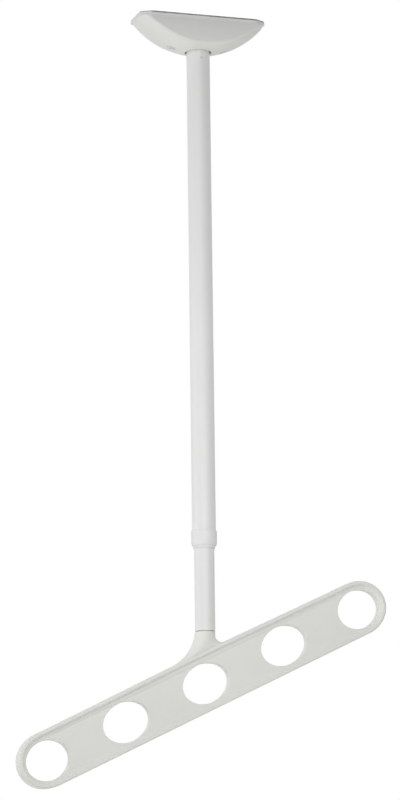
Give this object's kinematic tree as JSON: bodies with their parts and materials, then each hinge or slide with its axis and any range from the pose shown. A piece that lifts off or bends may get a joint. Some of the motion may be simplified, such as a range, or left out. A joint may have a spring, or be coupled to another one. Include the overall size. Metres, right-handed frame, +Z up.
{
  "type": "ceiling drying-pole hanger",
  "caption": "White ceiling-mounted telescopic hanger with a half-moon canopy and a slanted arm pierced by oval holes for drying poles.",
  "frame": {"origin": "centre of the four ceiling screw holes, on the plate face that lies against the ceiling, on the axis of the tubes", "axes": "+Z up, into the ceiling, so the hanger reaches down to negative Z; +X along the canopy and the arm, towards the arm's high end; -Y is the front"},
  "size_m": [0.4007, 0.0508, 0.825],
  "materials": {
    "white_cover": "satin moulded plastic",
    "white_tube_coat": "satin baked coating on aluminium tube",
    "white_arm_coat": "satin powder coat on a die casting",
    "white_collar": "satin moulded plastic",
    "zinc_steel": "zinc plated pressed steel",
    "screw_steel": "bright zinc plated screws",
    "white_screw_paint": "white painted screws",
    "natural_nylon": "natural nylon",
    "black_rubber": "black rubber",
    "plain_aluminium": "turned aluminium"
  },
  "bodies": {
    "ceiling_mount": {"mount_plate": "zinc_steel", "stem": "zinc_steel", "cover_brackets": "zinc_steel", "clip_nuts": "screw_steel", "canopy_cover": "white_cover", "cover_screws": "white_screw_paint", "stem_set_screws": "white_screw_paint", "outer_tube": "white_tube_coat", "lock_collet": "natural_nylon", "buffer_ring": "black_rubber"},
    "collar": {"lock_collar": "white_collar"},
    "drop_tube": {"inner_tube": "white_tube_coat", "guide_bush": "natural_nylon", "guide_plug": "plain_aluminium", "guide_screw": "screw_steel", "swivel_plug": "plain_aluminium", "plug_screw": "screw_steel", "thrust_washer": "natural_nylon", "flat_washer": "screw_steel", "spring_washer": "screw_steel"},
    "arm": {"swivel_bolt": "screw_steel", "arm_casting": "white_arm_coat"}
  },
  "joints": [
    {"name": "collar_turn", "type": "hinge", "parent": "ceiling_mount", "child": "collar", "pos_m": [0, 0, -0.5648], "axis": [0, 0, 1], "range_deg": [0, 90]},
    {"name": "height_slide", "type": "slide", "parent": "ceiling_mount", "child": "drop_tube", "axis": [0, 0, 1], "range_m": [-0.24, 0.084]},
    {"name": "arm_swivel", "type": "hinge", "parent": "drop_tube", "child": "arm", "pos_m": [0, 0, -0.6601], "axis": [0, 0, 1], "continuous": true}
  ]
}
